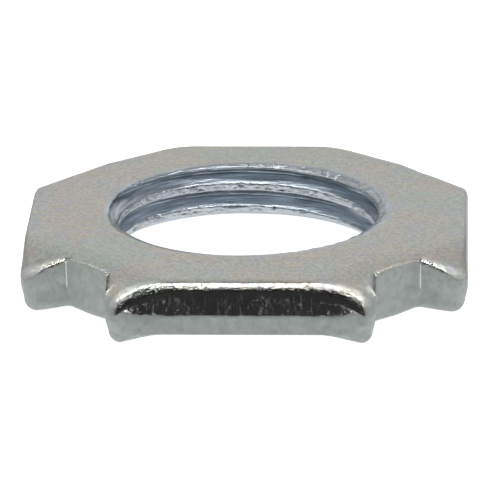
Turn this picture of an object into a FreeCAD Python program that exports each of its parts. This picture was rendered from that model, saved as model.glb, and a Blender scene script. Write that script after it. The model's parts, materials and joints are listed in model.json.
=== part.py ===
"""Steel conduit locknut, 1/2 inch trade size: one stamped plate with four lugs and a tapped bore.

Frame: millimetres, +Z up. The origin is on the bore axis, level with the lowest points of the teeth.
The face with the rolled edge looks up, and the eight bent lug corners, the teeth, point down.
The lugs face +X, +Y, -X and -Y, and the notches between them lie on the diagonals.
"""
import FreeCAD, Part
import math
import os

# Driving dimensions, in millimetres unless the name says otherwise
ACROSS_LUGS = 33.2                # from one lug's outer face to the opposite one
PLATE_THICKNESS = 4.0
LUG_WIDTH = 19.8                  # between the two end walls of one lug
NOTCH_DEPTH = 2.54                # from a lug's square corner to the notch floor, along the diagonal
NOTCH_CORNER_RADIUS = 0.45        # fillet between a notch floor and a lug's end wall
BEND_REACH = 4.44                 # from where a corner starts to curve down to its square corner
TOOTH_TOP_DROP = 2.4              # how far the upper face falls at a lug's square corner
TOOTH_DEPTH = 0.95                # how far the lowest point of a tooth is below the underside
TOOTH_CORNER_RADIUS_BELOW = 1.6   # rounding of a lug's corner at the level of the tooth points
TOOTH_CORNER_RADIUS_ABOVE = 0.6   # the same rounding where the blank ends above the upper face
ROLLED_EDGE_RADIUS = 0.9          # rounding that the punch leaves along the upper outline
THREAD_MAJOR_DIAMETER = 21.5
THREADS_PER_INCH = 14
THREAD_FLANK_ANGLE = 30           # degrees between a flank and the plane across the axis
CREST_FLAT_PER_PITCH = 0.3
ROOT_FLAT_PER_PITCH = 0.08
FIRST_GROOVE_DEPTH = 0.8          # from the upper face to the first groove's root, on the +Y side
RIM_CHAMFER_WIDTH = 0.6
RIM_CHAMFER_DEPTH = 0.35
CUT_MARGIN = 1.0                  # how far a cutting solid runs past the faces that it cuts
CUTTER_OVERLAP = 0.05             # how far the thread cutter stands inside the plain bore
POINT_TOLERANCE = 1e-6
WALL_RISE_LIMIT = 0.1             # a face whose normal rises less than this stands upright
FACE_RISE_LIMIT = 0.5             # a face whose normal rises more than this looks up or down

# Worked out from the driving dimensions
MM_PER_INCH = 25.4
LUG_COUNT = 4
LUG_STEP = 360 / LUG_COUNT
DIAGONAL = LUG_STEP / 2
LUG_FACE_DISTANCE = ACROSS_LUGS / 2
HALF_LUG_WIDTH = LUG_WIDTH / 2
UNDERSIDE_Z = TOOTH_DEPTH
UPPER_FACE_Z = UNDERSIDE_Z + PLATE_THICKNESS
BLANK_HEIGHT = UPPER_FACE_Z + CUT_MARGIN
CORNER_REACH = (LUG_FACE_DISTANCE + HALF_LUG_WIDTH) * math.cos(math.radians(DIAGONAL))
NOTCH_FLOOR_DISTANCE = CORNER_REACH - NOTCH_DEPTH
BEND_LINE_DISTANCE = CORNER_REACH - BEND_REACH
TOOTH_POINT_REACH = CORNER_REACH - TOOTH_CORNER_RADIUS_BELOW * (math.sqrt(2) - 1)
THREAD_PITCH = MM_PER_INCH / THREADS_PER_INCH
CREST_FLAT = CREST_FLAT_PER_PITCH * THREAD_PITCH
ROOT_FLAT = ROOT_FLAT_PER_PITCH * THREAD_PITCH
FLANK_SLOPE = math.tan(math.radians(THREAD_FLANK_ANGLE))
THREAD_DEPTH = (THREAD_PITCH - CREST_FLAT - ROOT_FLAT) / 2 / FLANK_SLOPE
MAJOR_RADIUS = THREAD_MAJOR_DIAMETER / 2
MINOR_RADIUS = MAJOR_RADIUS - THREAD_DEPTH


def turned(shape, angle):
    """A copy of the shape, turned about the bore axis."""
    copy = shape.copy()
    copy.rotate(FreeCAD.Vector(0, 0, 0), FreeCAD.Vector(0, 0, 1), angle)
    return copy


def turned_point(x, y, angle):
    """The point (x, y), turned about the bore axis."""
    cosine = math.cos(math.radians(angle))
    sine = math.sin(math.radians(angle))
    return FreeCAD.Vector(x * cosine - y * sine, x * sine + y * cosine, 0)


def stands_over(vertex, point):
    """Whether the vertex has the same X and Y as the point."""
    offset = vertex.Point - point
    return math.hypot(offset.x, offset.y) < POINT_TOLERANCE


def upright_edges(shape, points):
    """The shape's upright edges that stand over the given points."""
    found = []
    for edge in shape.Edges:
        ends = edge.Vertexes
        for point in points:
            if stands_over(ends[0], point) and stands_over(ends[-1], point):
                found.append(edge)
    return found


def notch_cutter():
    """What is punched out between two lugs, on the +X +Y diagonal, with its inner corners rounded."""
    floor_end = NOTCH_FLOOR_DISTANCE / math.cos(math.radians(DIAGONAL)) - HALF_LUG_WIDTH
    outside = LUG_FACE_DISTANCE + CUT_MARGIN
    corners = [
        FreeCAD.Vector(floor_end, HALF_LUG_WIDTH, -CUT_MARGIN),
        FreeCAD.Vector(outside, HALF_LUG_WIDTH, -CUT_MARGIN),
        FreeCAD.Vector(outside, outside, -CUT_MARGIN),
        FreeCAD.Vector(HALF_LUG_WIDTH, outside, -CUT_MARGIN),
        FreeCAD.Vector(HALF_LUG_WIDTH, floor_end, -CUT_MARGIN),
    ]
    outline = Part.makePolygon(corners + corners[:1])
    cutter = Part.Face(outline).extrude(FreeCAD.Vector(0, 0, BLANK_HEIGHT + 2 * CUT_MARGIN))
    inner_corners = upright_edges(cutter, [corners[0], corners[-1]])
    return cutter.makeFillet(NOTCH_CORNER_RADIUS, inner_corners)


def round_tooth_corners(blank):
    """Round the eight lug corners, more at the teeth than at the upper face."""
    for index in range(LUG_COUNT):
        for side in (-1, 1):
            corner = turned_point(LUG_FACE_DISTANCE, side * HALF_LUG_WIDTH, index * LUG_STEP)
            edge = upright_edges(blank, [corner])[0]
            radii = [TOOTH_CORNER_RADIUS_BELOW, TOOTH_CORNER_RADIUS_ABOVE]
            if edge.Vertexes[0].Z > edge.Vertexes[-1].Z:
                radii.reverse()
            blank = blank.makeFillet(radii[0], radii[1], [edge])
    return blank


def outline_blank():
    """The nut's outline as a tall prism: four lugs, four notches and rounded corners."""
    base = FreeCAD.Vector(-LUG_FACE_DISTANCE, -LUG_FACE_DISTANCE, 0)
    blank = Part.makeBox(ACROSS_LUGS, ACROSS_LUGS, BLANK_HEIGHT, base)
    cutter = notch_cutter()
    for index in range(LUG_COUNT):
        blank = blank.cut(turned(cutter, index * LUG_STEP))
    return round_tooth_corners(blank)


def falling_arc(start, reach, drop, end_reach):
    """An arc that leaves the start level, along +X, and has fallen by the drop at the reach.

    It goes on to the end reach. Returns its edge and its end.
    """
    radius = (reach ** 2 + drop ** 2) / (2 * drop)
    end_angle = math.asin(end_reach / radius)
    points = []
    for angle in (end_angle / 2, end_angle):
        fall = radius * (1 - math.cos(angle))
        points.append(start + FreeCAD.Vector(radius * math.sin(angle), 0, -fall))
    return Part.Arc(start, points[0], points[1]).toShape(), points[1]


def bent_strip():
    """The plate beyond one bend line, curving down, on the +X axis and as long as the bend line."""
    upper = FreeCAD.Vector(BEND_LINE_DISTANCE, -BEND_LINE_DISTANCE, UPPER_FACE_Z)
    lower = FreeCAD.Vector(BEND_LINE_DISTANCE, -BEND_LINE_DISTANCE, UNDERSIDE_Z)
    point_reach = TOOTH_POINT_REACH - BEND_LINE_DISTANCE
    upper_arc, upper_end = falling_arc(upper, BEND_REACH, TOOTH_TOP_DROP, BEND_REACH)
    lower_arc, lower_end = falling_arc(lower, point_reach, TOOTH_DEPTH, BEND_REACH)
    outline = Part.Wire([
        upper_arc,
        Part.LineSegment(upper_end, lower_end).toShape(),
        lower_arc,
        Part.LineSegment(lower, upper).toShape(),
    ])
    return Part.Face(outline).extrude(FreeCAD.Vector(0, 2 * BEND_LINE_DISTANCE, 0))


def pressed_plate():
    """The plate after the press: flat inside the four bend lines, curved down outside them."""
    side = 2 * BEND_LINE_DISTANCE
    base = FreeCAD.Vector(-BEND_LINE_DISTANCE, -BEND_LINE_DISTANCE, UNDERSIDE_Z)
    plate = turned(Part.makeBox(side, side, PLATE_THICKNESS, base), DIAGONAL)
    strip = turned(bent_strip(), DIAGONAL)
    for index in range(LUG_COUNT):
        plate = plate.fuse(turned(strip, index * LUG_STEP))
    return plate.removeSplitter()


def upper_outline_edges(body):
    """The edges between the upper faces and the upright walls, round the whole outline."""
    found = []
    middle_z = (UPPER_FACE_Z + UNDERSIDE_Z) / 2
    for edge in body.Edges:
        middle = edge.valueAt((edge.FirstParameter + edge.LastParameter) / 2)
        if middle.z < middle_z:
            continue
        rises = [abs(face.normalAt(*face.Surface.parameter(middle)).z)
                 for face in body.ancestorsOfType(edge, Part.Face)]
        if min(rises) < WALL_RISE_LIMIT and max(rises) > FACE_RISE_LIMIT:
            found.append(edge)
    return found


def thread_cutter():
    """A ridge wound round the bore axis, right-handed, which cuts the thread's groove."""
    turns_below = math.ceil(PLATE_THICKNESS / THREAD_PITCH)
    turns_above = 2
    quarter_turn = THREAD_PITCH / 4
    bottom = UPPER_FACE_Z - FIRST_GROOVE_DEPTH - quarter_turn - turns_below * THREAD_PITCH
    inner = MINOR_RADIUS - CUTTER_OVERLAP
    root_half = ROOT_FLAT / 2
    inner_half = root_half + (MAJOR_RADIUS - inner) * FLANK_SLOPE
    profile = Part.makePolygon([
        FreeCAD.Vector(inner, 0, bottom - inner_half),
        FreeCAD.Vector(MAJOR_RADIUS, 0, bottom - root_half),
        FreeCAD.Vector(MAJOR_RADIUS, 0, bottom + root_half),
        FreeCAD.Vector(inner, 0, bottom + inner_half),
        FreeCAD.Vector(inner, 0, bottom - inner_half),
    ])
    helix = Part.makeHelix(THREAD_PITCH, (turns_below + turns_above) * THREAD_PITCH, MINOR_RADIUS)
    helix.translate(FreeCAD.Vector(0, 0, bottom))
    return Part.Wire(helix).makePipeShell([profile], True, True)


def bore_cutter():
    """The plain bore at the thread's minor diameter."""
    base = FreeCAD.Vector(0, 0, -CUT_MARGIN)
    return Part.makeCylinder(MINOR_RADIUS, BLANK_HEIGHT + CUT_MARGIN, base)


def rim_chamfer_cutter():
    """A cone that cuts the chamfer at the bore's upper rim, and runs past it at both ends."""
    margin_width = CUT_MARGIN * RIM_CHAMFER_WIDTH / RIM_CHAMFER_DEPTH
    small_radius = MINOR_RADIUS - margin_width
    large_radius = MINOR_RADIUS + RIM_CHAMFER_WIDTH + margin_width
    base = FreeCAD.Vector(0, 0, UPPER_FACE_Z - RIM_CHAMFER_DEPTH - CUT_MARGIN)
    return Part.makeCone(small_radius, large_radius, RIM_CHAMFER_DEPTH + 2 * CUT_MARGIN, base)


def locknut():
    """The finished nut: outline, pressed teeth, rolled upper edge, thread, bore and rim chamfer."""
    body = outline_blank().common(pressed_plate()).removeSplitter()
    body = body.makeFillet(ROLLED_EDGE_RADIUS, upper_outline_edges(body))
    for cutter in (thread_cutter(), bore_cutter(), rim_chamfer_cutter()):
        body = body.cut(cutter)
    return body.Solids[0]


os.makedirs("parts", exist_ok=True)
locknut().exportStep("parts/locknut.step")
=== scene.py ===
"""The looks of a steel conduit locknut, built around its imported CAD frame.

One closed mesh stands for the CAD solid. It adds what a press and a tap leave on a real nut: the dished
plate, the rolled edge, the sheared and the torn part of the outline, the noses of the teeth and the
torn crests of the thread. Sizes are in millimetres until the mesh is made.
"""
import json
import math

import bpy
import numpy as np
from mathutils import Matrix, Vector, noise


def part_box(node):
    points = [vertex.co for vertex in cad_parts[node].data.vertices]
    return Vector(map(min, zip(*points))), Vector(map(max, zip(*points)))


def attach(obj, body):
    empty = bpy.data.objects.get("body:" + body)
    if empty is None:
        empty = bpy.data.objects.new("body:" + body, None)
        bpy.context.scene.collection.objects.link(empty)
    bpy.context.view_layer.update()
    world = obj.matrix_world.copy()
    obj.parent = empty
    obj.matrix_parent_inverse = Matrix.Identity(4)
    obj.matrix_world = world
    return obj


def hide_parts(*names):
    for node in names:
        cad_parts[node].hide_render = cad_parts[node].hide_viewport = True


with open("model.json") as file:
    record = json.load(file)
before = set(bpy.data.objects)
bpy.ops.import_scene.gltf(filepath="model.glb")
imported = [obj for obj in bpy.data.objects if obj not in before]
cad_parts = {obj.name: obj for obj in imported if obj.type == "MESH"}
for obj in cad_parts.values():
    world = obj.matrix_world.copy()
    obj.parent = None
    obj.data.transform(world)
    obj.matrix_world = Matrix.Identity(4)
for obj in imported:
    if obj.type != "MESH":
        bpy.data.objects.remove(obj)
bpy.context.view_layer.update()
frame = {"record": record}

MM = 0.001
PIECE = "locknut"

# The nut's shape, worked out from the frame where the frame says it
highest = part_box(PIECE)[1]
THREAD_MOUNT = [m for m in frame["record"]["mounts"] if m["name"] == "conduit_thread"][0]
FACE_DISTANCE = highest.x / MM
UPPER_Z = highest.z / MM
MINOR_RADIUS = THREAD_MOUNT["dims"]["r_mm"]

# The outline
LUG_COUNT = 4
HALF_LUG_WIDTH = 9.9
FLOOR_DISTANCE = 16.2             # from the bore axis to a notch floor
INNER_CORNER_RADIUS = 0.45        # between a notch floor and a lug's end wall
INNER_CORNER_TURN = math.radians(45)
CORNER_RADIUS_ABOVE = 1.1
CORNER_RADIUS_BELOW = 1.35
ROOT_TWO = math.sqrt(2)
INNER_CORNER_X = FLOOR_DISTANCE * ROOT_TWO - HALF_LUG_WIDTH

# The plate
DISH_START = 10.8                 # from the bore axis, along a lug, to where the plate starts to fall
DISH_DROP = 0.35                  # how far it has fallen at a lug's face
BEND_LINE = 14.3                  # from the bore axis, along a diagonal
BEND_REACH = 4.44                 # from there to the lugs' square corners
BEND_DROP = 2.1                   # how far the upper face falls over that reach
UNDERSIDE_Z = 0.95
LUG_UNDERSIDE_Z = 0.85
TOOTH_SKEW = 1.35                 # a tooth bends more sideways along its lug than outward
TOOTH_START = 14.5                # from the bore axis, across the bend: where the underside starts to fall
TOOTH_END = 17.2                  # and where it has come down to the floor
TOOTH_EASE = 1.5                  # how much faster it falls at first than at the end

# The edge that the punch rolled, and the walls that it sheared and tore
NOTCH_WALL_SHARE = 0.75           # of an end wall: the rest of it turns into the lug's corner
CORNER_BLEND = 0.25               # the share of half a face where the corner's roll turns into its own
FACE_ROLL_WIDTH = 1.25            # half the width of the ellipse that a lug's rolled edge follows
FACE_ROLL_DEPTH = 1.55            # and half its height
CORNER_ROLL_WIDTH = 1.3           # the same at a lug's corners
CORNER_ROLL_DEPTH = 1.0
CORNER_ROLL_CHANGE = 0.65         # how much of that goes where the press rolled a lug least
WALL_ROLL_WIDTH = 0.45            # on a lug's end walls, where the edge is bevelled
WALL_ROLL_DEPTH = 0.26
BEVEL_SHARE = 0.6                 # 0 for a rolled edge there, 1 for a straight bevel
FLOOR_ROLL_WIDTH = 0.2            # and on a notch floor
FLOOR_ROLL_DEPTH = 0.15
LUG_ROLL_SHARES = (0.25, 0.85, 0.25, 1.0)   # of the +X, +Y, -X and -Y lugs: the press rolled -Y most
ROLL_BURNISH_DROP = 0.52          # below this much of the roll, the punch has sheared it bright
ROLL_END = 0.05                   # the share of the roll's width where the ellipse gives way to the wall
SHEAR_SLOPE = 0.36                # how far a lug's sheared face leans out, and over what height
SHEAR_HEIGHT = 1.3
SHEAR_FOOT_Z = 2.22               # where a lug's sheared part ends, and how far this rises to its corners
SHEAR_RISE = 0.8
SHEAR_FULL_REACH = 7.2            # from the middle of a lug to where the sheared part starts to taper
SHEAR_REACH = 9.5                 # and to where it ends
SHEAR_FADE = 0.5                  # how far its gloss takes to fade there
FILLET_BURNISH = 0.6              # how bright the notches' inner corners are sheared, and how far down
FILLET_BURNISH_DEPTH = 2.2
FILLET_BURNISH_START = 0.6        # the share of the fillet where that starts
CORNER_LEAN = 0.25                # how far a lug's corner leans in on its way down
CORNER_LEAN_SPAN = (0.5, 1.5)     # from the roll's foot: where the lean starts, and how far it takes
BOTTOM_ROUNDING = 0.12
NOSE_WIDTH = 0.65                 # the rounding under a tooth: across, and up
NOSE_HEIGHT = 0.8
NOSE_LIMIT = 0.75                 # the most of a wall's height that its rounding takes

# The thread
THREADS_PER_INCH = 14
MM_PER_INCH = 25.4
PITCH = MM_PER_INCH / THREADS_PER_INCH
MAJOR_RADIUS = 10.75
ROOT_HALF = 0.04 * PITCH          # half the width of the flat at the bottom of the groove
FLANK_ANGLE = 30                  # degrees, from square to the bore axis
FLANK_SLOPE = math.tan(math.radians(FLANK_ANGLE))
FIRST_GROOVE_DEPTH = 0.8          # from the upper face to the first groove, on the +Y side
RIM_WIDTH = 0.72                  # the rounding of the bore's upper rim, and below it of the lower one
RIM_DEPTH = 0.35
LOWER_RIM_WIDTH = 0.35
LOWER_RIM_DEPTH = 0.3
RIM_RADIUS_LIMIT = MAJOR_RADIUS + 0.05

# What is rough, as lumps in the mesh
ROUGHNESS_KINDS = {               # its number, its lumps for each millimetre, and their stretch in height
    "crest": (1, 1.5, 1.6),
    "rim": (2, 1.6, 1.0),
    "roll": (3, 1.9, 1.0),
    "shear_border": (4, 0.6, 1.0),
    "tear": (5, 1.6, 0.7),
}
NOISE_STEP = Vector((17.3, 5.9, 11.1))
FRACTAL = (1.0, 2.0, 4)           # how fast the noise's octaves fade, their spacing, and their number
CREST_TEAR = 0.10                 # the size of a full lump of each kind
RIM_WAVE = 0.14
ROLL_DENT = 0.055
BORDER_WAVE = 0.06
WALL_TEAR = 0.02
CREST_TEAR_LEVEL = 0.1            # added to the noise, so that more than half of the lumps show
ROLL_DENT_LEVEL = 0.2
RIM_WAVE_START = 4.6 / 6          # the share of the bore's height where the rim's waves begin
RIM_WAVE_FADE = 1 / 6             # and the share over which they grow

# Where one finish turns into the next
CREST_FINISH_DEPTH = 0.25         # how far below a crest its finish reaches
ROLL_FINISH = (0.02, 0.12)        # of the edge's fall: where the roll's finish starts, and how far it takes
CORNER_TEAR_FADE = 0.4            # how far the torn finish takes from there at a lug's corner
SHEAR_FINISH_FADE = 0.15
TORN_FADE = 0.12
TORN_LEAD = 1.2                   # the share of that fade by which the torn finish starts early
DENT_FADE = (0.08, 1 / 6)         # of the edge's fall: where its dents start, and how far they take

# How finely the mesh is divided
FLOOR_STEPS = 8
INNER_CORNER_STEPS = 6
WALL_STEPS = 18
CORNER_STEPS = 14
HALF_FACE_STEPS = 74
THREAD_ROWS = 46
TOP_ROWS = 12
ROLL_ROWS = 17
WALL_ROWS = 16
NOSE_ROWS = 6
UNDER_ROWS = 5
UNDER_BLEND = 0.25                # the share of the way in where the underside takes its own height
ROLL_REACH = 1.25                 # how far the fine rows reach in, for a roll of width 1
ROLL_REACH_LIMIT = 0.8            # and the most of the way to the bore that they take
POINTS_AT_ONCE = 64               # to keep the arrays small


def stepped(count):
    """Shares from 0 up to, but not including, 1."""
    return np.arange(count) / count


def line(start, end, count):
    """Points from the start up to, but not including, the end."""
    share = stepped(count)[:, None]
    return np.array(start) * (1 - share) + np.array(end) * share


def arc(centre, radius, first, last, count):
    """Points on an arc, angles in degrees, up to, but not including, its end."""
    angle = np.radians(first + (last - first) * stepped(count))
    return np.array(centre) + radius * np.stack([np.cos(angle), np.sin(angle)], 1)


def half_lug(corner_radius):
    """Half the outline of the +X lug: from the middle of a notch floor to the middle of the lug's face."""
    tangent = INNER_CORNER_RADIUS * math.tan(INNER_CORNER_TURN / 2)
    floor_middle = (FLOOR_DISTANCE / ROOT_TWO, -FLOOR_DISTANCE / ROOT_TWO)
    back = tangent / ROOT_TWO
    floor_end = (INNER_CORNER_X - back, -HALF_LUG_WIDTH - back)
    inner_centre = (INNER_CORNER_X + tangent, -HALF_LUG_WIDTH - INNER_CORNER_RADIUS)
    wall_start = (INNER_CORNER_X + tangent, -HALF_LUG_WIDTH)
    wall_end = (FACE_DISTANCE - corner_radius, -HALF_LUG_WIDTH)
    corner_centre = (wall_end[0], corner_radius - HALF_LUG_WIDTH)
    return np.concatenate([
        line(floor_middle, floor_end, FLOOR_STEPS),
        arc(inner_centre, INNER_CORNER_RADIUS, 135, 90, INNER_CORNER_STEPS),
        line(wall_start, wall_end, WALL_STEPS),
        arc(corner_centre, corner_radius, -90, 0, CORNER_STEPS),
        line((FACE_DISTANCE, corner_centre[1]), (FACE_DISTANCE, 0), HALF_FACE_STEPS),
    ])


def turned(points, angle):
    """The points, turned about the bore axis by an angle in radians."""
    cosine = math.cos(angle)
    sine = math.sin(angle)
    return points @ np.array([[cosine, sine], [-sine, cosine]])


def outline(corner_radius):
    """The nut's whole outline, counter-clockwise, always with the same number of points."""
    half = half_lug(corner_radius)
    middle = np.array([[FACE_DISTANCE, 0.0]])
    other = half[:0:-1] * np.array([1, -1])
    lug = np.concatenate([half, middle, other])
    lugs = [turned(lug, index * 2 * math.pi / LUG_COUNT) for index in range(LUG_COUNT)]
    return np.concatenate(lugs)


def lug_offset(points):
    """How far each point is from the middle line of its own lug."""
    return np.abs(points).min(-1)


def face_share(points):
    """1 on the middle of a lug's face, 0 at its corners and in a notch."""
    return eased((SHEAR_REACH - lug_offset(points)) / (SHEAR_REACH - SHEAR_FULL_REACH))


def spread(floor, fillet, wall, corner, face):
    """A value for each point of the outline, from its values on the five parts of half a lug."""
    counts = (FLOOR_STEPS, INNER_CORNER_STEPS, WALL_STEPS, CORNER_STEPS, HALF_FACE_STEPS)
    parts = (floor, fillet, wall, corner, face)
    half = np.concatenate([np.broadcast_to(part, count) for part, count in zip(parts, counts)])
    return np.tile(np.concatenate([half, half[-1:], half[:0:-1]]), LUG_COUNT)


def lug_roll_share():
    """For each point of the outline, how much of the full roll its lug has; it changes in the notches."""
    return np.repeat(LUG_ROLL_SHARES, len(spread(0, 0, 0, 0, 0)) // LUG_COUNT)


def corner_share():
    """Along a lug's end wall: 0 where it belongs to the notch, rising to 1 at the lug's corner."""
    return eased((stepped(WALL_STEPS) - NOTCH_WALL_SHARE) / (1 - NOTCH_WALL_SHARE))


def notch_share():
    """1 in the notches, 0 at the lugs' corners and on their faces."""
    return spread(1, 1, 1 - corner_share(), 0, 0)


def roll_size(floor, wall, corner, face):
    """The rolled edge's size at each point of the outline: it grows from the notches to the lugs' faces."""
    near_face = eased(stepped(HALF_FACE_STEPS) / CORNER_BLEND)
    notch = spread(floor, wall, wall, 0, 0) * notch_share()
    corners = spread(0, 0, corner_share(), 1, 1 - near_face) * corner
    faces = spread(0, 0, 0, 0, near_face) * face
    return notch + corners * (1 - CORNER_ROLL_CHANGE * (1 - lug_roll_share())) + faces * lug_roll_share()


def inward(points):
    """Unit vectors that point into the nut, square to the outline at each of its points."""
    along = np.roll(points, -1, 0) - np.roll(points, 1, 0)
    square = np.stack([-along[:, 1], along[:, 0]], 1)
    return square / np.linalg.norm(square, axis=1)[:, None]


def eased(value):
    """0 below 0, 1 above 1, and a smooth rise between them."""
    value = np.clip(value, 0, 1)
    return value * value * (3 - 2 * value)


def diagonal_reach(points):
    """How far out each point is along the nearest diagonal."""
    return np.abs(points).sum(-1) / ROOT_TWO


def dish(points):
    """How far the plate has fallen towards the lugs."""
    reach = np.abs(points).max(-1)
    return DISH_DROP * np.clip((reach - DISH_START) / (FACE_DISTANCE - DISH_START), 0, 1)


def upper_height(points):
    """The upper face's height, before its edge is rolled."""
    share = np.clip((diagonal_reach(points) - BEND_LINE) / BEND_REACH, 0, None)
    return UPPER_Z - dish(points) - BEND_DROP * share ** 2


def tooth_share(points):
    """0 where the underside is flat, 1 where a tooth has come down to the floor."""
    outward = np.abs(points).max(-1)
    sideways = np.abs(points).min(-1)
    reach = (outward + TOOTH_SKEW * sideways) / math.hypot(1, TOOTH_SKEW)
    share = np.clip((reach - TOOTH_START) / (TOOTH_END - TOOTH_START), 0, 1)
    return share ** 2 * (1 + TOOTH_EASE * (1 - share))


def lower_height(points):
    """The underside's height."""
    radius = np.linalg.norm(points, axis=-1)
    share = eased((radius - DISH_START) / (FACE_DISTANCE - DISH_START))
    plate = UNDERSIDE_Z + (LUG_UNDERSIDE_Z - UNDERSIDE_Z) * share
    return plate * (1 - tooth_share(points))


def rough(points, kind):
    """Noise between about -1 and 1 at each 3-D point, always the same for one kind of roughness."""
    number, lumps_per_mm, stretch = ROUGHNESS_KINDS[kind]
    offset = NOISE_STEP * number
    places = [Vector(point) * lumps_per_mm + offset for point in points * np.array([1, 1, stretch])]
    return np.array([noise.fractal(place, *FRACTAL) for place in places])


def with_height(points, heights):
    """3-D points from outline points and their heights."""
    return np.concatenate([points, np.broadcast_to(heights, points.shape[:1])[:, None]], 1)


def thread_radius(angle, height):
    """The bore's radius at an angle and a height: flat crests, and one right-handed groove."""
    groove = UPPER_Z - FIRST_GROOVE_DEPTH + PITCH * (angle - math.pi / 2) / (2 * math.pi)
    offset = np.abs((height - groove + PITCH / 2) % PITCH - PITCH / 2)
    radius = MAJOR_RADIUS - np.clip(offset - ROOT_HALF, 0, None) / FLANK_SLOPE
    crest = eased((MINOR_RADIUS + CREST_FINISH_DEPTH - radius) / CREST_FINISH_DEPTH)
    return np.maximum(radius, MINOR_RADIUS), crest


def bore_rows(reference):
    """The rows up the bore, from its lower rim to its upper one, with its torn crests."""
    angle = np.arctan2(reference[:, 1], reference[:, 0])
    direction = np.stack([np.cos(angle), np.sin(angle)], 1)
    rows = []
    crests = []
    for share in np.linspace(0, 1, THREAD_ROWS):
        height = UNDERSIDE_Z + (UPPER_Z - UNDERSIDE_Z) * share
        radius, crest = thread_radius(angle, height)
        upper = MINOR_RADIUS + RIM_WIDTH * (1 - (UPPER_Z - height) / RIM_DEPTH)
        lower = MINOR_RADIUS + LOWER_RIM_WIDTH * (1 - (height - UNDERSIDE_Z) / LOWER_RIM_DEPTH)
        place = with_height(direction * MINOR_RADIUS, height)
        upper = upper + RIM_WAVE * rough(place, "rim") * eased((share - RIM_WAVE_START) / RIM_WAVE_FADE)
        radius = radius + crest * CREST_TEAR * np.clip(rough(place, "crest") + CREST_TEAR_LEVEL, 0, None)
        radius = np.clip(np.maximum(np.maximum(radius, upper), lower), None, RIM_RADIUS_LIMIT)
        rows.append(with_height(direction * radius[:, None], height))
        crests.append(crest)
    return rows, crests


def roll_drop(points, edge, width, depth, bevel):
    """How far the edge falls at each point, by its distance to the outline: rolled, or bevelled."""
    drop = np.zeros(len(points))
    for index in range(0, len(points), POINTS_AT_ONCE):
        part = points[index:index + POINTS_AT_ONCE]
        distance = np.linalg.norm(part[:, None] - edge[None], axis=2) + ROLL_END * width
        share = np.clip((width - distance) / width, 0, 1)
        rolled = 1 - np.sqrt(1 - share ** 2)
        fall = depth * (rolled + (share - rolled) * bevel)
        drop[index:index + POINTS_AT_ONCE] = fall.max(1)
    return drop


def top_rows(rim, edge, face):
    """The rows over the upper face, from the bore's rim to the foot of the rolled edge."""
    width = roll_size(FLOOR_ROLL_WIDTH, WALL_ROLL_WIDTH, CORNER_ROLL_WIDTH, FACE_ROLL_WIDTH)
    depth = roll_size(FLOOR_ROLL_DEPTH, WALL_ROLL_DEPTH, CORNER_ROLL_DEPTH, FACE_ROLL_DEPTH)
    on_face = eased((SHEAR_REACH - lug_offset(edge)) / SHEAR_FADE) * lug_roll_share()
    bevel = spread(0, 0, BEVEL_SHARE, 0, 0) * notch_share()
    glossy = np.maximum(spread(0, 1, 1, 0, 0) * notch_share(), on_face)
    span = edge - rim
    length = np.linalg.norm(span, axis=1)
    roll_reach = np.minimum(width * ROLL_REACH, length * ROLL_REACH_LIMIT) / length
    rows = []
    rolls = []
    burnishes = []
    tears = []
    shares = [(1 - roll_reach) * share for share in stepped(TOP_ROWS + 1)[1:]]
    for turn in np.linspace(0, 1, ROLL_ROWS):
        shares.append(1 - roll_reach * (1 - math.sin(turn * math.pi / 2)))
    for share in shares:
        points = rim + span * share[:, None]
        drop = roll_drop(points, edge, width, depth, bevel)
        dent = rough(with_height(points, 0), "roll") * eased((drop - DENT_FADE[0]) / DENT_FADE[1])
        height = upper_height(points) - drop - ROLL_DENT * np.clip(dent + ROLL_DENT_LEVEL, 0, None)
        rows.append(with_height(points, np.maximum(height, 0)))
        rolls.append(glossy * eased((drop - ROLL_FINISH[0]) / ROLL_FINISH[1]))
        burnishes.append(on_face * eased((drop - ROLL_BURNISH_DROP) / SHEAR_FINISH_FADE))
        tears.append((1 - glossy) * eased((drop - ROLL_FINISH[0]) / CORNER_TEAR_FADE))
    return rows, rolls, burnishes, tears


def shear_border(points):
    """The height where the sheared part of a lug's face ends: it rises towards the lug's corners."""
    share = np.clip((lug_offset(points) - SHEAR_FULL_REACH) / (SHEAR_REACH - SHEAR_FULL_REACH), 0, None)
    return SHEAR_FOOT_Z + SHEAR_RISE * share ** 2


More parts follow.
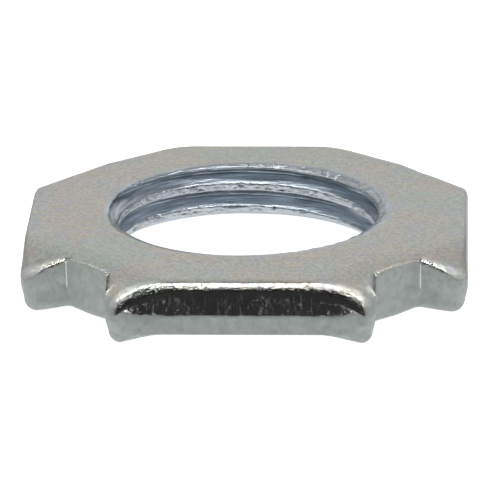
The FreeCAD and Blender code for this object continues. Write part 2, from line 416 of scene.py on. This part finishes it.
def wall_rows(top, face):
    """The rows down the outline's walls: sheared smooth above, torn below, and rounded at the foot."""
    below = outline(CORNER_RADIUS_BELOW)
    tooth = tooth_share(below)
    nose_width = BOTTOM_ROUNDING + (NOSE_WIDTH - BOTTOM_ROUNDING) * tooth
    foot = lower_height(below)
    start = top[:, 2]
    nose_height = BOTTOM_ROUNDING + (NOSE_HEIGHT - BOTTOM_ROUNDING) * tooth
    nose_height = np.minimum(nose_height, (start - foot) * NOSE_LIMIT)
    end = foot + nose_height
    border = shear_border(outline(CORNER_RADIUS_ABOVE))
    fillet = spread(0, FILLET_BURNISH * (stepped(INNER_CORNER_STEPS) > FILLET_BURNISH_START), 0, 0, 0)
    rows = []
    burnishes = []
    tears = []
    for share in np.linspace(0, 1, WALL_ROWS + 1)[1:]:
        points = outline(CORNER_RADIUS_ABOVE + (CORNER_RADIUS_BELOW - CORNER_RADIUS_ABOVE) * share)
        height = start + (end - start) * share
        depth = start - height
        ragged = border + BORDER_WAVE * rough(with_height(points, 0), "shear_border")
        torn = eased((ragged - height) / TORN_FADE + TORN_LEAD)
        slope = SHEAR_SLOPE * face * lug_roll_share() * np.clip(1 - depth / SHEAR_HEIGHT, 0, 1)
        lean = slope + CORNER_LEAN * tooth * eased((depth - CORNER_LEAN_SPAN[0]) / CORNER_LEAN_SPAN[1])
        lean = np.maximum(lean + WALL_TEAR * torn * rough(with_height(points, height), "tear"), 0)
        rows.append(with_height(points + inward(points) * lean[:, None], height))
        sheared = (1 - torn) * (face > 0) * lug_roll_share()
        burnishes.append(np.maximum(sheared, fillet * (depth < FILLET_BURNISH_DEPTH)))
        tears.append(1 - burnishes[-1])
    for turn in np.linspace(0, math.pi / 2, NOSE_ROWS + 1)[1:]:
        inset = lean + nose_width * (1 - math.cos(turn))
        points = below + inward(below) * inset[:, None]
        height = foot + nose_height * (1 - math.sin(turn))
        rows.append(with_height(points, height))
        burnishes.append(np.zeros(len(below)))
        tears.append(tears[WALL_ROWS - 1])
    return rows, burnishes, tears


def under_rows(outer, inner):
    """The rows under the plate, from the walls' feet back to the bore's lower rim."""
    rows = []
    for share in stepped(UNDER_ROWS + 1)[1:]:
        points = outer[:, :2] * (1 - share) + inner[:, :2] * share
        fade = eased(share / UNDER_BLEND)
        height = outer[:, 2] * (1 - fade) + lower_height(points) * fade
        rows.append(with_height(points, height))
    return rows


def nut_grid():
    """All rows of the nut's surface, which close round a ring, and each row's finish shares."""
    edge = outline(CORNER_RADIUS_ABOVE)
    face = face_share(edge)
    edge = edge + inward(edge) * (SHEAR_SLOPE * face * lug_roll_share())[:, None]
    bore, crests = bore_rows(edge)
    top, rolls, top_burnishes, top_tears = top_rows(bore[-1][:, :2], edge, face)
    walls, burnishes, tears = wall_rows(top[-1], face)
    under = under_rows(walls[-1], bore[0])
    rows = bore + top + walls + under
    nothing = np.zeros(len(edge))
    count = {"bore": len(bore), "top": len(top), "walls": len(walls), "under": len(under)}
    finishes = {
        "thread": [nothing + 1] * count["bore"] + [nothing] * (len(rows) - count["bore"]),
        "crest": crests + [nothing] * (len(rows) - count["bore"]),
        "roll": [nothing] * count["bore"] + rolls + [nothing] * (count["walls"] + count["under"]),
        "burnish": [nothing] * count["bore"] + top_burnishes + burnishes + [nothing] * count["under"],
        "tear": [nothing] * count["bore"] + top_tears + tears + [nothing] * count["under"],
    }
    return np.stack(rows), finishes


def ring_faces(row_count, column_count):
    """Four-sided faces over a grid that closes both ways."""
    row, column = np.meshgrid(np.arange(row_count), np.arange(column_count), indexing="ij")
    next_row = (row + 1) % row_count
    next_column = (column + 1) % column_count
    corners = [(row, column), (next_row, column), (next_row, next_column), (row, next_column)]
    return np.stack([r * column_count + c for r, c in corners], -1).reshape(-1, 4)


def make_nut(material):
    """The nut's mesh, with one named value for each finish at each of its points."""
    rows, finishes = nut_grid()
    faces = ring_faces(rows.shape[0], rows.shape[1])
    mesh = bpy.data.meshes.new("nut_surface")
    mesh.from_pydata((rows.reshape(-1, 3) * MM).tolist(), [], faces.tolist())
    mesh.shade_smooth()
    for name, values in finishes.items():
        attribute = mesh.attributes.new(name, "FLOAT", "POINT")
        attribute.data.foreach_set("value", np.stack(values).reshape(-1).astype(np.float32))
    mesh.materials.append(material)
    nut = bpy.data.objects.new("nut", mesh)
    bpy.context.scene.collection.objects.link(nut)
    return nut


# The numbers of a Mix node's sockets
MIX_COLOURS = (0, 6, 7)           # a share and two colours
MIX_NUMBERS = (0, 2, 3)           # a share and two numbers
MIXED_COLOUR = 2
MIXED_NUMBER = 0


class Nodes:
    """Adds shader nodes to one material and joins them."""

    def __init__(self, name):
        self.material = bpy.data.materials.new(name)
        self.material.use_nodes = True
        self.tree = self.material.node_tree
        self.shader = self.tree.nodes["Principled BSDF"]

    def add(self, kind, inputs=None, **settings):
        """A node with its settings, and its inputs given as values or as other nodes' outputs."""
        node = self.tree.nodes.new(kind)
        for key, value in settings.items():
            setattr(node, key, value)
        for key, value in (inputs or {}).items():
            self.give(node.inputs[key], value)
        return node

    def give(self, socket, value):
        """Sets a socket, or links it to another node's output."""
        if isinstance(value, bpy.types.NodeSocket):
            self.tree.links.new(value, socket)
        else:
            socket.default_value = value

    def maths(self, operation, first, second=0.0):
        """The result of one sum on two values."""
        return self.add("ShaderNodeMath", {0: first, 1: second}, operation=operation).outputs[0]

    def finish(self, name):
        """The mesh's own value for one finish."""
        return self.add("ShaderNodeAttribute", attribute_name=name).outputs["Fac"]

    def place(self, scale):
        """The point's place in millimetres, stretched by the scale along each axis."""
        coordinates = self.add("ShaderNodeTexCoord").outputs["Object"]
        stretch = tuple(value / MM for value in scale)
        return self.add("ShaderNodeMapping", {"Vector": coordinates, "Scale": stretch}).outputs[0]

    def lumps(self, lumps_per_mm, detail, stretch):
        """Noise between 0 and 1."""
        inputs = {"Vector": self.place(stretch), "Scale": lumps_per_mm, "Detail": detail,
                  "Roughness": NOISE_ROUGHNESS}
        return self.add("ShaderNodeTexNoise", inputs).outputs["Fac"]

    def patches(self, kind, least=0.0, most=1.0):
        """Soft patches of one kind, as numbers from the least to the most."""
        lumps_per_mm, stretch, low, high = PATCHES[kind]
        value = self.lumps(lumps_per_mm, PATCH_DETAIL, stretch)
        inputs = {"Value": value, "From Min": low, "From Max": high, "To Min": least, "To Max": most}
        return self.add("ShaderNodeMapRange", inputs).outputs[0]

    def relief(self, kind):
        """Fine relief of one kind, in millimetres."""
        lumps_per_mm, detail, stretch, depth = RELIEFS[kind]
        return self.maths("MULTIPLY", self.lumps(lumps_per_mm, detail, stretch), depth)

    def blend(self, share, first, second):
        """A colour between two others."""
        node = self.add("ShaderNodeMix", dict(zip(MIX_COLOURS, (share, first, second))), data_type="RGBA")
        return node.outputs[MIXED_COLOUR]

    def weigh(self, share, first, second):
        """A number between two others."""
        node = self.add("ShaderNodeMix", dict(zip(MIX_NUMBERS, (share, first, second))), data_type="FLOAT")
        return node.outputs[MIXED_NUMBER]


# The plating: its colours, its patches and its fine relief
COLOURS = {
    "warm": (0.61, 0.565, 0.50, 1),
    "green": (0.52, 0.585, 0.53, 1),
    "violet": (0.55, 0.53, 0.62, 1),
    "grain": (0.40, 0.395, 0.37, 1),
    "thread_dark": (0.29, 0.34, 0.39, 1),
    "thread_light": (0.53, 0.59, 0.64, 1),
    "crest": (0.46, 0.475, 0.48, 1),
    "sheared": (0.74, 0.75, 0.75, 1),
    "torn_dark": (0.33, 0.36, 0.35, 1),
    "torn_light": (0.40, 0.43, 0.42, 1),
}
EVEN = (1, 1, 1)
PATCHES = {                       # lumps for each millimetre, stretch, and the noise from edge to middle
    "tint": (0.3, EVEN, 0.42, 0.58),
    "violet": (0.6, (1, 1.4, 1), 0.48, 0.62),
    "grain": (4.0, EVEN, 0.36, 0.64),
    "thread": (3.0, (0.1, 0.1, 2.6), 0.4, 0.6),
    "crest": (3.0, EVEN, 0.4, 0.6),
    "torn": (1.6, EVEN, 0.35, 0.65),
    "plate_gloss": (2.5, EVEN, 0.35, 0.65),
    "sheared_gloss": (4.0, (1, 1, 0.04), 0.45, 0.7),
    "torn_gloss": (2.0, EVEN, 0.35, 0.65),
}
PATCH_DETAIL = 4.0
RELIEFS = {                       # lumps for each millimetre, levels of detail, stretch, and depth in mm
    "grain": (11.0, 3.0, EVEN, 0.010),
    "roll": (5.0, 4.0, EVEN, 0.055),
    "thread": (3.5, 4.0, (0.12, 0.12, 2.4), 0.07),
    "crest": (3.5, 5.0, EVEN, 0.10),
    "burnish": (6.0, 3.0, (1, 1, 0.08), 0.045),
    "tear": (3.0, 5.0, (1, 1, 0.6), 0.12),
}
NOISE_ROUGHNESS = 0.55
VIOLET_SHARE = 0.7
GRAIN_SHARE = 0.8
PLATE_ROUGHNESS = (0.42, 0.54)
THREAD_ROUGHNESS = 0.3
ROLL_ROUGHNESS = 0.17
SHEARED_ROUGHNESS = (0.08, 0.22)
TORN_ROUGHNESS = (0.5, 0.66)
TORN_METAL = 0.4                  # the torn steel is dull, so it counts as part metal only


def plating_colour(nodes):
    """Zinc plating: warm grey with faint tints over the plate, and its own grey on each finish."""
    colour = nodes.blend(nodes.patches("tint"), COLOURS["warm"], COLOURS["green"])
    violet = nodes.maths("MULTIPLY", nodes.patches("violet"), VIOLET_SHARE)
    colour = nodes.blend(violet, colour, COLOURS["violet"])
    colour = nodes.blend(nodes.patches("grain", 0.0, GRAIN_SHARE), colour, COLOURS["grain"])
    thread = nodes.blend(nodes.patches("thread"), COLOURS["thread_dark"], COLOURS["thread_light"])
    colour = nodes.blend(nodes.finish("thread"), colour, thread)
    crest = nodes.maths("MULTIPLY", nodes.finish("crest"), nodes.patches("crest"))
    colour = nodes.blend(crest, colour, COLOURS["crest"])
    colour = nodes.blend(nodes.finish("burnish"), colour, COLOURS["sheared"])
    torn = nodes.blend(nodes.patches("torn"), COLOURS["torn_dark"], COLOURS["torn_light"])
    return nodes.blend(nodes.finish("tear"), colour, torn)


def plating_roughness(nodes):
    """Matte on the plate and the torn walls, glossy where the punch sheared it, and in between elsewhere."""
    value = nodes.patches("plate_gloss", *PLATE_ROUGHNESS)
    value = nodes.weigh(nodes.finish("thread"), value, THREAD_ROUGHNESS)
    value = nodes.weigh(nodes.finish("roll"), value, ROLL_ROUGHNESS)
    value = nodes.weigh(nodes.finish("burnish"), value, nodes.patches("sheared_gloss", *SHEARED_ROUGHNESS))
    return nodes.weigh(nodes.finish("tear"), value, nodes.patches("torn_gloss", *TORN_ROUGHNESS))


def plating_height(nodes):
    """The fine relief, in millimetres: the plate's grain, and each finish's own relief over it."""
    height = nodes.relief("grain")
    for finish in ("roll", "thread", "crest", "burnish", "tear"):
        height = nodes.weigh(nodes.finish(finish), height, nodes.relief(finish))
    return height


def zinc_plated_steel():
    """The nut's one material."""
    nodes = Nodes("zinc_plated_steel")
    bump = nodes.add("ShaderNodeBump", {"Height": plating_height(nodes), "Distance": MM, "Strength": 1.0})
    nodes.give(nodes.shader.inputs["Base Color"], plating_colour(nodes))
    nodes.give(nodes.shader.inputs["Roughness"], plating_roughness(nodes))
    nodes.give(nodes.shader.inputs["Metallic"], nodes.weigh(nodes.finish("tear"), 1.0, TORN_METAL))
    nodes.give(nodes.shader.inputs["Normal"], bump.outputs[0])
    return nodes.material


# The studio, in metres and watts
FLOOR_SIZE = 6.0
FLOOR_COLOUR = (0.5, 0.5, 0.5, 1)
FLOOR_GLOW = 0.85
FLOOR_ROUGHNESS = 0.9
SKY_AS_LIGHT = (0.03, 0.03, 0.03, 1)
SKY_BEHIND = (0.9, 0.9, 0.9, 1)
LIGHT_AIM = Vector((0, 0, 0.003))
LIGHTS = {                        # place, width, depth and power
    "back_light": ((0.0, 0.42, 0.20), 0.60, 0.26, 0.48),
    "ceiling_light": ((0.0, 0.28, 0.36), 0.60, 0.16, 0.15),
    "top_light": ((0.0, -0.05, 0.45), 1.00, 0.045, 2.4),
    "left_light": ((-0.42, 0.10, 0.18), 0.25, 0.25, 0.25),
    "right_light": ((0.42, 0.10, 0.18), 0.25, 0.25, 0.25),
}
CAMERA_DISTANCE = 0.4284
CAMERA_ELEVATION = math.radians(19.15)
CAMERA_AZIMUTH = math.radians(2.4)
CAMERA_AIM = Vector((-0.11, 0.0, 1.8)) * MM
CAMERA_ROLL = math.radians(-0.65)
CAMERA_FIELD = math.radians(4.98)


def pale_floor():
    """A plain pale floor, lit a little from below, as a light table is."""
    nodes = Nodes("pale_floor")
    nodes.shader.inputs["Base Color"].default_value = FLOOR_COLOUR
    nodes.shader.inputs["Emission Color"].default_value = (1, 1, 1, 1)
    nodes.shader.inputs["Emission Strength"].default_value = FLOOR_GLOW
    nodes.shader.inputs["Roughness"].default_value = FLOOR_ROUGHNESS
    bpy.ops.mesh.primitive_plane_add(size=FLOOR_SIZE)
    floor = bpy.context.object
    floor.name = "floor"
    floor.data.materials.append(nodes.material)
    return floor


def facing(place, aim):
    """The rotation of a camera or a lamp that looks from a place at a point."""
    return (aim - place).to_track_quat("-Z", "Y")


def add_lights():
    """Large soft lamps above, behind and beside the nut."""
    for name, (place, width, depth, power) in LIGHTS.items():
        lamp = bpy.data.lights.new(name, "AREA")
        lamp.shape = "RECTANGLE"
        lamp.size = width
        lamp.size_y = depth
        lamp.energy = power
        holder = bpy.data.objects.new(name, lamp)
        holder.location = place
        holder.rotation_mode = "QUATERNION"
        holder.rotation_quaternion = facing(Vector(place), LIGHT_AIM)
        bpy.context.scene.collection.objects.link(holder)


def add_world():
    """A pale sky behind the nut, which is dim as a light, so that the sheared walls stay dark."""
    world = bpy.data.worlds.new("studio")
    world.use_nodes = True
    nodes = world.node_tree.nodes
    background = nodes["Background"]
    path = nodes.new("ShaderNodeLightPath")
    mix = nodes.new("ShaderNodeMix")
    mix.data_type = "RGBA"
    share, as_light, behind = (mix.inputs[number] for number in MIX_COLOURS)
    as_light.default_value = SKY_AS_LIGHT
    behind.default_value = SKY_BEHIND
    world.node_tree.links.new(path.outputs["Is Camera Ray"], share)
    world.node_tree.links.new(mix.outputs[MIXED_COLOUR], background.inputs["Color"])
    bpy.context.scene.world = world


def add_camera():
    """The camera: a long lens, a little above the nut and a little to its right."""
    data = bpy.data.cameras.new("camera")
    data.angle = CAMERA_FIELD
    level = math.cos(CAMERA_ELEVATION)
    away = Vector((level * math.sin(CAMERA_AZIMUTH), -level * math.cos(CAMERA_AZIMUTH),
                   math.sin(CAMERA_ELEVATION)))
    camera = bpy.data.objects.new("camera", data)
    place = away * CAMERA_DISTANCE + Vector((0, 0, UPPER_Z * MM))
    turn = facing(place, CAMERA_AIM).to_matrix().to_4x4() @ Matrix.Rotation(CAMERA_ROLL, 4, "Z")
    camera.matrix_world = Matrix.Translation(place) @ turn
    bpy.context.scene.collection.objects.link(camera)
    bpy.context.scene.camera = camera


nut = make_nut(zinc_plated_steel())
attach(nut, "root")
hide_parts(PIECE)
pale_floor()
add_lights()
add_world()
add_camera()
bpy.context.scene.view_settings.view_transform = "Standard"
